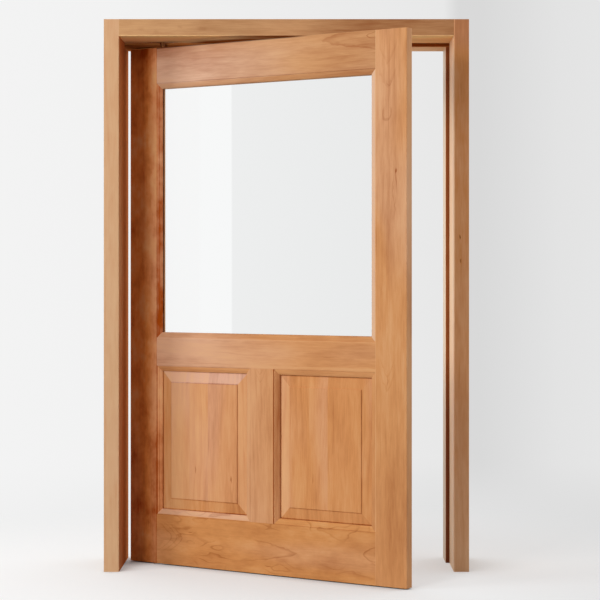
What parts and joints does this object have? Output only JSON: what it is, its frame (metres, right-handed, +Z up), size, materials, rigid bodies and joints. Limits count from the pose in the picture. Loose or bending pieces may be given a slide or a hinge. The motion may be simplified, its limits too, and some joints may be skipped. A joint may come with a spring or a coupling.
{
  "type": "wooden pivot door",
  "caption": "Wooden pivot door in a deep timber frame: clear glass above raised panels, hung on a top and a bottom pivot set in from the edge so that the leaf swings open.",
  "frame": {"origin": "on the leaf's pivot axis at floor level, on the bottom of the bottom pivot", "axes": "+X along the doorway from the pivot jamb to the latch jamb, +Y through the doorway away from the side that the leaf opens to, +Z up along the pivot axis"},
  "size_m": [1.414, 0.8138, 2.14],
  "materials": {
    "frame_timber": "satin clear lacquer",
    "leaf_timber": "satin clear lacquer",
    "panel_timber": "satin clear lacquer",
    "glass": "clear float",
    "glazing_tape": "matte",
    "setting_block": "matte",
    "pivot_steel": "brushed",
    "bush_bronze": "turned",
    "screw_steel": "zinc plated"
  },
  "bodies": {
    "frame": {"left_jamb": "frame_timber", "right_jamb": "frame_timber", "head": "frame_timber", "head_stop": "frame_timber", "right_stop": "frame_timber", "head_screws": "screw_steel", "head_plate": "pivot_steel", "head_plate_screws": "screw_steel", "top_pin": "pivot_steel", "lock_nut": "pivot_steel", "floor_plate": "pivot_steel", "floor_spindle": "pivot_steel"},
    "leaf": {"left_stile": "leaf_timber", "right_stile": "leaf_timber", "top_rail": "leaf_timber", "lock_rail": "leaf_timber", "bottom_rail": "leaf_timber", "muntin": "leaf_timber", "left_panel": "panel_timber", "right_panel": "panel_timber", "glass_pane": "glass", "bead_top": "leaf_timber", "bead_bottom": "leaf_timber", "bead_left": "leaf_timber", "bead_right": "leaf_timber", "front_tape": "glazing_tape", "back_tape": "glazing_tape", "setting_blocks": "setting_block", "top_shoe": "pivot_steel", "top_bush": "bush_bronze", "top_shoe_screws": "screw_steel", "bottom_shoe": "pivot_steel", "bottom_bush": "bush_bronze", "thrust_disc": "bush_bronze", "bottom_shoe_screws": "screw_steel"}
  },
  "joints": [
    {"name": "leaf_pivot", "type": "hinge", "parent": "frame", "child": "leaf", "pos_m": [0, 0, 0], "axis": [0, 0, -1], "range_deg": [-33.5, 56.5]}
  ]
}
